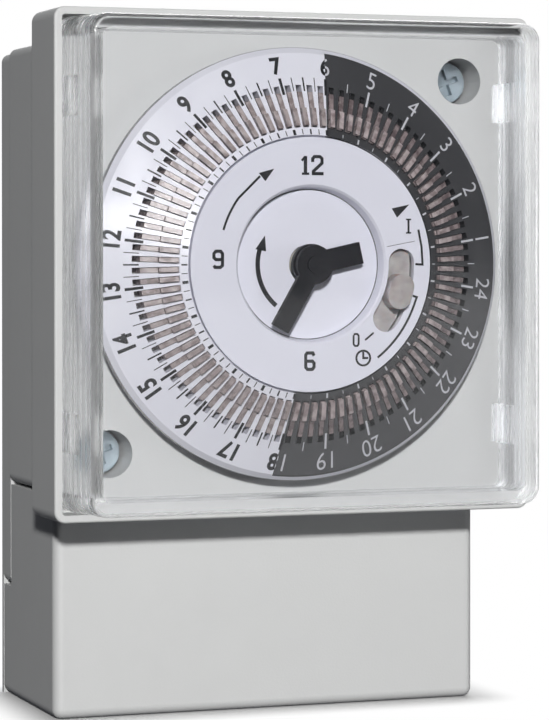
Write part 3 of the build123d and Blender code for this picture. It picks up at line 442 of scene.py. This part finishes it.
def text_mesh(text, weight):
    """Mesh of a text in the built-in font, centred, one unit tall."""
    curve = bpy.data.curves.new("text", "FONT")
    curve.body = text
    curve.size = 1.0
    curve.extrude = 0.1
    curve.offset = weight
    curve.resolution_u = 5
    holder = bpy.data.objects.new("text", curve)
    SCENE.collection.objects.link(holder)
    bpy.context.view_layer.update()
    mesh = bpy.data.meshes.new_from_object(holder.evaluated_get(bpy.context.evaluated_depsgraph_get()))
    bpy.data.objects.remove(holder)
    xs = [v.co.x for v in mesh.vertices]
    ys = [v.co.y for v in mesh.vertices]
    tall = max(ys) - min(ys)
    middle = Vector(((max(xs) + min(xs)) / 2, (max(ys) + min(ys)) / 2, 0))
    for vertex in mesh.vertices:
        vertex.co = (vertex.co - middle) * (1 / tall)
    return mesh


def cut(mesh, keep_left):
    """Half of a text mesh, closed again along the cut."""
    half = bmesh.new()
    half.from_mesh(mesh)
    bmesh.ops.remove_doubles(half, verts=half.verts, dist=1e-6)
    everything = half.verts[:] + half.edges[:] + half.faces[:]
    cutting = bmesh.ops.bisect_plane(
        half,
        geom=everything,
        plane_co=(0, 0, 0),
        plane_no=(1, 0, 0),
        clear_outer=keep_left,
        clear_inner=not keep_left,
    )
    rim = [e for e in cutting["geom_cut"] if isinstance(e, bmesh.types.BMEdge)]
    bmesh.ops.holes_fill(half, edges=rim, sides=0)
    piece = bpy.data.meshes.new("half")
    half.to_mesh(piece)
    half.free()
    return piece


def number(page, mesh, angle, squeeze=0.88):
    """Lay a number on the dial with its top outwards."""

    def place(x, y):
        radius = NUMBER_RADIUS + y * NUMBER_HEIGHT
        return polar(radius, angle - math.degrees(x * squeeze * NUMBER_HEIGHT / NUMBER_RADIUS))

    page.glyph(mesh, place)


def dial_print():
    """Numbers and ticks of the dial: black on its white half, white on its dark half."""
    black = Print("dial_print_black", on_cone, "dial", INK)
    white = Print("dial_print_white", on_cone, "dial", PALE_INK)
    for quarter in range(96):
        hour = quarter / 4
        angle = hour_angle(hour)
        away = (angle - DARK_CENTRE + 180) % 360 - 180
        dark = abs(away) < 90
        whole, half = quarter % 4 == 0, quarter % 4 == 2
        if dark:
            if whole:
                white.ribbon([polar(24.3, angle), polar(26.6, angle)], 0.3)
                white.ribbon([polar(18.4, angle), polar(19.1, angle)], 0.25)
            elif half:
                white.ribbon([polar(25.3, angle), polar(26.6, angle)], 0.12)
                white.ribbon([polar(18.5, angle), polar(19.0, angle)], 0.1)
        else:
            width = 0.4 if whole else 0.22 if half else 0.12
            black.ribbon([polar(24.2 if whole else 24.6, angle), polar(26.6, angle)], width)
            black.ribbon([polar(18.38, angle), polar(19.15, angle)], width)
    for hour in range(1, 25):
        angle = hour_angle(hour)
        bold = text_mesh(str(hour), 0.032)
        thin = text_mesh(str(hour), -0.006)
        if 6 < hour < 18:
            number(black, bold, angle)
        elif hour == 6:
            number(black, cut(bold, True), angle)
            number(white, cut(thin, False), angle)
        elif hour == 18:
            number(black, cut(bold, False), angle)
            number(white, cut(thin, True), angle)
        else:
            number(white, thin, angle)
    black.build()
    white.build()


# Strokes of the face's figures, in millimetres from the dial's centre.
TWO_OF_TWELVE = [
    (0.1, 14.45), (0.1, 14.95), (0.36, 15.22), (1.2, 15.22), (1.5, 14.93),
    (1.5, 14.3), (0.2, 13.15), (0.2, 12.82), (1.74, 12.82),
]
NINE = [
    (-14.6, -0.1), (-14.42, -0.37), (-13.62, -0.37), (-13.32, -0.1), (-13.32, 1.55), (-13.6, 1.88),
    (-14.3, 1.88), (-14.58, 1.55), (-14.58, 1.0), (-14.3, 0.72), (-13.4, 0.72),
]
SIX = [
    (0.3, -12.9), (0.12, -12.5), (-0.76, -12.5), (-0.96, -12.8), (-0.96, -14.5), (-0.7, -14.82),
    (0.04, -14.82), (0.3, -14.5), (0.3, -13.95), (0.04, -13.66), (-0.9, -13.66),
]
ZERO = [
    (6.3, -10.0), (6.5, -9.9), (6.85, -9.9), (7.05, -10.15), (7.05, -11.35),
    (6.85, -11.6), (6.5, -11.6), (6.28, -11.35), (6.28, -10.05),
]


def face_print_and_shade_lines():
    """Marks of the clock face and of the recess floor, with painted shadow lines at a moulded step and
    round the recess floor's edge.
    """
    page = Print("face_print_and_shade_lines", on_plane(FACE_DEPTH), "case", INK)
    bold, fine = 0.52, 0.32
    page.ribbon([(-0.99, 12.84), (-0.99, 15.3)], bold)
    page.ribbon([(-1.55, 14.62), (-1.0, 15.22)], 0.34)
    page.ribbon([(-1.52, 12.8), (-0.42, 12.8)], 0.34)
    for figure in (TWO_OF_TWELVE, NINE, SIX):
        page.ribbon(figure, 0.46)
    page.ribbon(arc((14.03, 14.38), 159.8, 139.7) + [(-7.75, 12.42)], fine)
    page.polygon([(-5.65, 13.48), (-7.98, 12.84), (-7.61, 12.46), (-6.97, 11.71)])
    page.polygon([(12.11, 7.95), (12.92, 6.64), (14.80, 8.51)])
    page.ribbon([(14.68, 4.46), (14.68, 6.38)], 0.3)
    for z in (4.46, 6.38):
        page.ribbon([(14.28, z), (15.09, z)], 0.22)
    page.ribbon([(16.20, 4.94), (16.69, 2.43), (16.84, -0.07), (15.75, -0.01)], fine)
    page.ribbon([(15.35, -4.54), (15.96, -4.73)] + arc(16.6, -18.6, -53.2), fine)
    page.ribbon(ZERO, 0.28)
    page.ribbon([(8.04, -10.77), (9.33, -9.74)], 0.27)
    page.ring((7.75, -13.33), 1.05, 0.3)
    page.ribbon([(7.75, -12.45), (7.75, -13.33), (8.5, -13.33)], 0.3)
    # Painted shade: a thin black line along a moulded step right of the recess, where the step casts its
    # shade.
    page.ribbon([(11.4, 2.5), (15.64, 3.28)], 0.07)
    recess = Print("recess_print_and_shadow_ring", on_plane(FLOOR_DEPTH), "case", INK)
    recess.ribbon(arc(7.5, -129.2, -197.0, 24), 0.66)
    recess.polygon([(-6.4, 4.1), (-7.85, 2.15), (-6.25, 1.85)])
    # Painted shadow: a thin black ring round the recess floor's edge, for the shade where the floor meets
    # the recess wall.
    recess.ring((0, 0), 10.6, 0.12, 120)
    page.build()
    recess.build()


# ---------------------------------------------------------------- stage
LENS = 150.9
SENSOR = 36.0
SHIFT = (-0.0667, -0.1324)
AZIMUTH, ELEVATION, ROLL = -20.4015, 0.4929, -0.0134
DISTANCE = 422.08
PIVOT = Vector((0, -52.5, 0)) * MM
FLOOR_TOP = -65.45
FLOOR_REACH = 3.0

# The object's footprint on the floor, and how far round it the floor takes shadows, in millimetres.
FOOT_HALF_WIDTH = 31.0
FOOT_MIDDLE = -15.5
FOOT_HALF_DEPTH = 14.0
FLOOR_FADE = 9.0

# The world as the camera sees it, then as mirrored rays and scattered rays do.
WORLD_SEEN = (1, 1, 1, 1)
WORLD_MIRRORED = (0.125, 0.13, 0.142, 1)
WORLD_SCATTERED = (0.02, 0.021, 0.024, 1)


def aim(azimuth, elevation):
    """Unit vector from the object towards a viewer."""
    a, e = math.radians(azimuth), math.radians(elevation)
    return Vector((math.sin(a) * math.cos(e), -math.cos(a) * math.cos(e), math.sin(e)))


def camera():
    data = bpy.data.cameras.new("camera")
    data.lens = LENS
    data.sensor_width = SENSOR
    data.sensor_fit = "VERTICAL"
    data.sensor_height = SENSOR
    data.shift_x, data.shift_y = SHIFT
    data.clip_start = 0.02
    data.clip_end = 20.0
    view = bpy.data.objects.new("camera", data)
    back = aim(AZIMUTH, ELEVATION)
    a, r = math.radians(AZIMUTH), math.radians(ROLL)
    right = Vector((math.cos(a), math.sin(a), 0))
    up = back.cross(right)
    turned_right = right * math.cos(r) + up * math.sin(r)
    turned_up = up * math.cos(r) - right * math.sin(r)
    matrix = Matrix((turned_right, turned_up, back)).transposed().to_4x4()
    matrix.translation = PIVOT + back * DISTANCE * MM
    view.matrix_world = matrix
    SCENE.collection.objects.link(view)
    SCENE.camera = view


def lamp(name, azimuth, elevation, distance, size, power, colour=(1, 1, 1)):
    """Square soft light that faces the front of the object."""
    data = bpy.data.lights.new(name, "AREA")
    data.shape = "RECTANGLE"
    data.size, data.size_y = size
    data.energy = power
    data.color = colour
    light = bpy.data.objects.new(name, data)
    place = aim(azimuth, elevation)
    light.location = PIVOT + place * distance
    light.rotation_euler = place.to_track_quat("Z", "Y").to_euler()
    light.visible_transmission = False
    SCENE.collection.objects.link(light)
    return light


def world():
    space = bpy.data.worlds.new("studio")
    space.use_nodes = True
    tree = Tree(space.node_tree)
    rays = tree.add("ShaderNodeLightPath")
    scattered = tree.math("GREATER_THAN", rays.outputs["Diffuse Depth"], 0.5)
    mirrored = tree.math("GREATER_THAN", rays.outputs["Glossy Depth"], 0.5)
    tint = tree.mix(scattered, tree.mix(mirrored, WORLD_SEEN, WORLD_MIRRORED), WORLD_SCATTERED)
    glow = tree.add("ShaderNodeBackground")
    tree.link(tint, glow.inputs["Color"])
    out = tree.add("ShaderNodeOutputWorld")
    tree.link(glow.outputs[0], out.inputs["Surface"])
    SCENE.world = space


def floor():
    """Pale floor just under the object, which fades to white."""
    mesh = bpy.data.meshes.new("floor")
    signs = [(-1, -1), (1, -1), (1, 1), (-1, 1)]
    corners = [(x * FLOOR_REACH, y * FLOOR_REACH, FLOOR_TOP * MM) for x, y in signs]
    mesh.from_pydata(corners, [], [(0, 1, 2, 3)])
    ground = bpy.data.objects.new("floor", mesh)
    material = bpy.data.materials.new("floor_white")
    material.use_nodes = True
    tree = Tree(material.node_tree)
    tree.place = tree.add("ShaderNodeTexCoord").outputs["Object"]
    axes = tree.add("ShaderNodeSeparateXYZ")
    tree.link(tree.place, axes.inputs[0])
    squares = []
    for axis, middle, half in (("X", 0.0, FOOT_HALF_WIDTH), ("Y", FOOT_MIDDLE, FOOT_HALF_DEPTH)):
        off = tree.math("ABSOLUTE", tree.math("SUBTRACT", axes.outputs[axis], middle * MM))
        off = tree.math("MAXIMUM", tree.math("SUBTRACT", off, half * MM), 0.0)
        squares.append(tree.math("POWER", off, 2.0))
    fade = tree.ramp(tree.math("SQRT", tree.math("ADD", *squares)), 0.0, FLOOR_FADE * MM)
    matt = tree.add("ShaderNodeBsdfDiffuse")
    tree.link(tree.mix(tree.noise(30.0), (0.86, 0.86, 0.86, 1), (0.9, 0.9, 0.9, 1)), matt.inputs["Color"])
    glow = tree.add("ShaderNodeEmission")
    choice = tree.add("ShaderNodeMixShader")
    tree.link(fade, choice.inputs[0])
    tree.link(matt.outputs[0], choice.inputs[1])
    tree.link(glow.outputs[0], choice.inputs[2])
    out = tree.add("ShaderNodeOutputMaterial")
    tree.link(choice.outputs[0], out.inputs["Surface"])
    mesh.materials.append(material)
    SCENE.collection.objects.link(ground)
    ground.visible_diffuse = False
    ground.visible_glossy = False


def studio():
    SCENE.view_settings.view_transform = "Standard"
    SCENE.cycles.caustics_refractive = False
    SCENE.cycles.caustics_reflective = False
    world()
    floor()
    lamp("key", -18, 17, 1.2, (0.07, 0.07), 13.4, (1.0, 0.995, 0.985))
    glint = lamp("glint", -27, 10, 0.9, (0.05, 0.06), 2.4)
    glint.visible_diffuse = False
    lamp("fill", 50, -6, 1.3, (0.4, 0.4), 5.6)
    lamp("back", 155, 35, 1.3, (0.8, 0.8), 9.0)
    camera()


finish_nodes()
dial_print()
face_print_and_shade_lines()
studio()
